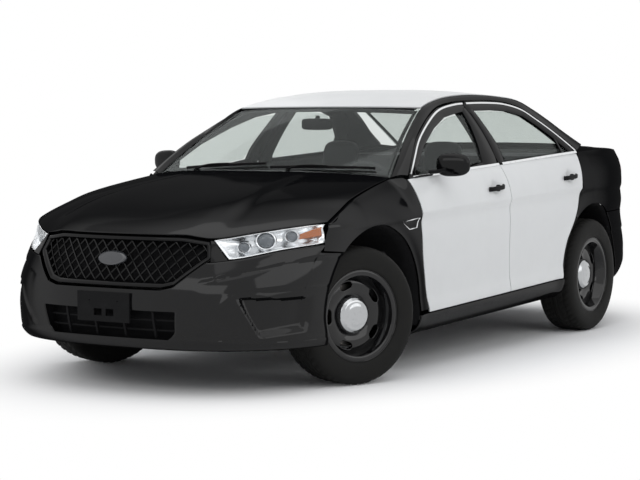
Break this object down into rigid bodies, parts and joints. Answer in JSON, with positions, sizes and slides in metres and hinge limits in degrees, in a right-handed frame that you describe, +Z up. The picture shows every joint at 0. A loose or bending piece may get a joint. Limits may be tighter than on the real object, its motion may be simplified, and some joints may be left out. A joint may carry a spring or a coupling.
{
  "type": "police patrol car",
  "caption": "Full-size four-door police sedan in black with white doors and roof; wheels, steering, doors, hood and trunk lid move.",
  "frame": {"origin": "on the ground, under the middle of the car's length and width", "axes": "+X to the car's left, +Y to its rear, +Z up"},
  "size_m": [2.1812, 5.1531, 1.5569],
  "materials": {
    "body_black": "gloss black paint",
    "body_white": "gloss white paint",
    "trim_black": "grained black plastic",
    "radiator_metal": "brazed fins",
    "lamp_clear": "clear lens",
    "lamp_red": "red lens",
    "window_glass": "lightly tinted",
    "cabin_cloth": "woven seat cloth",
    "underbody": "sealed underbody",
    "engine_metal": "cast",
    "chassis_steel": "dark coated",
    "exhaust_steel": "dull",
    "cabin_plastic": "soft-touch grain",
    "tyre_rubber": "moulded rubber",
    "wheel_black": "black enamel steel"
  },
  "bodies": {
    "root": {"body_sides": "body_black", "roof_panel": "body_white", "front_fenders": "body_black", "front_bumper": "body_black", "grille": "trim_black", "plate_bracket": "trim_black", "radiator": "radiator_metal", "rear_bumper": "body_black", "headlamps": "lamp_clear", "tail_lamps": "lamp_red", "screens": "window_glass", "cowl": "trim_black", "rear_shelf": "cabin_cloth", "floor_pan": "underbody", "engine_block": "engine_metal", "front_subframe": "chassis_steel", "rear_suspension": "chassis_steel", "exhaust": "exhaust_steel", "fuel_tank": "trim_black", "dashboard": "cabin_plastic", "front_seats": "cabin_cloth", "rear_seat": "cabin_cloth"},
    "hood": {"hood": "body_black"},
    "trunk_lid": {"trunk_lid": "body_black"},
    "front_door_left": {"front_door_left": "body_white", "front_glass_left": "window_glass", "mirror_left": "trim_black"},
    "rear_door_left": {"rear_door_left": "body_white", "rear_glass_left": "window_glass"},
    "knuckle_left": {"knuckle_left": "chassis_steel"},
    "front_door_right": {"front_door_right": "body_white", "front_glass_right": "window_glass", "mirror_right": "trim_black"},
    "rear_door_right": {"rear_door_right": "body_white", "rear_glass_right": "window_glass"},
    "knuckle_right": {"knuckle_right": "chassis_steel"},
    "steering_wheel": {"steering_wheel": "cabin_plastic"},
    "wheel_front_left": {"tyre_front_left": "tyre_rubber", "wheel_front_left": "wheel_black"},
    "wheel_front_right": {"tyre_front_right": "tyre_rubber", "wheel_front_right": "wheel_black"},
    "wheel_rear_left": {"tyre_rear_left": "tyre_rubber", "wheel_rear_left": "wheel_black"},
    "wheel_rear_right": {"tyre_rear_right": "tyre_rubber", "wheel_rear_right": "wheel_black"}
  },
  "joints": [
    {"name": "hood_hinge", "type": "hinge", "parent": "root", "child": "hood", "pos_m": [0, -1.052, 1.102], "axis": [-1, 0, 0], "range_deg": [0, 55]},
    {"name": "trunk_hinge", "type": "hinge", "parent": "root", "child": "trunk_lid", "pos_m": [0, 1.63, 1.198], "axis": [1, 0, 0], "range_deg": [0, 75]},
    {"name": "front_door_left_hinge", "type": "hinge", "parent": "root", "child": "front_door_left", "pos_m": [0.97, -1.032, 0.7], "axis": [0, 0, -1], "range_deg": [0, 66]},
    {"name": "rear_door_left_hinge", "type": "hinge", "parent": "root", "child": "rear_door_left", "pos_m": [0.972, 0.066, 0.7], "axis": [0, 0, -1], "range_deg": [0, 66]},
    {"name": "steer_left", "type": "hinge", "parent": "root", "child": "knuckle_left", "pos_m": [0.79, -1.558, 0.363], "axis": [0, 0, 1], "range_deg": [-11, 55]},
    {"name": "front_door_right_hinge", "type": "hinge", "parent": "root", "child": "front_door_right", "pos_m": [-0.97, -1.032, 0.7], "axis": [0, 0, 1], "range_deg": [0, 66]},
    {"name": "rear_door_right_hinge", "type": "hinge", "parent": "root", "child": "rear_door_right", "pos_m": [-0.972, 0.066, 0.7], "axis": [0, 0, 1], "range_deg": [0, 66]},
    {"name": "steer_right", "type": "hinge", "parent": "root", "child": "knuckle_right", "pos_m": [-0.79, -1.558, 0.363], "axis": [0, 0, 1], "range_deg": [-11, 55]},
    {"name": "steering_wheel_turn", "type": "hinge", "parent": "root", "child": "steering_wheel", "pos_m": [0.37, -0.56, 0.955], "axis": [0, 0.9135, 0.4067], "range_deg": [-180, 900]},
    {"name": "wheel_front_left_spin", "type": "hinge", "parent": "knuckle_left", "child": "wheel_front_left", "pos_m": [0.82709, -1.57298, 0.363], "axis": [0.9272, -0.3746, 0], "continuous": true},
    {"name": "wheel_front_right_spin", "type": "hinge", "parent": "knuckle_right", "child": "wheel_front_right", "pos_m": [-0.82709, -1.54302, 0.363], "axis": [0.9272, -0.3746, 0], "continuous": true},
    {"name": "wheel_rear_left_spin", "type": "hinge", "parent": "root", "child": "wheel_rear_left", "pos_m": [0.83, 1.287, 0.363], "axis": [1, 0, 0], "continuous": true},
    {"name": "wheel_rear_right_spin", "type": "hinge", "parent": "root", "child": "wheel_rear_right", "pos_m": [-0.83, 1.287, 0.363], "axis": [1, 0, 0], "continuous": true}
  ],
  "couplings": [
    {"joint": "steer_right", "follows": "steer_left", "ratio": 1},
    {"joint": "steering_wheel_turn", "follows": "steer_left", "ratio": 16.364}
  ]
}
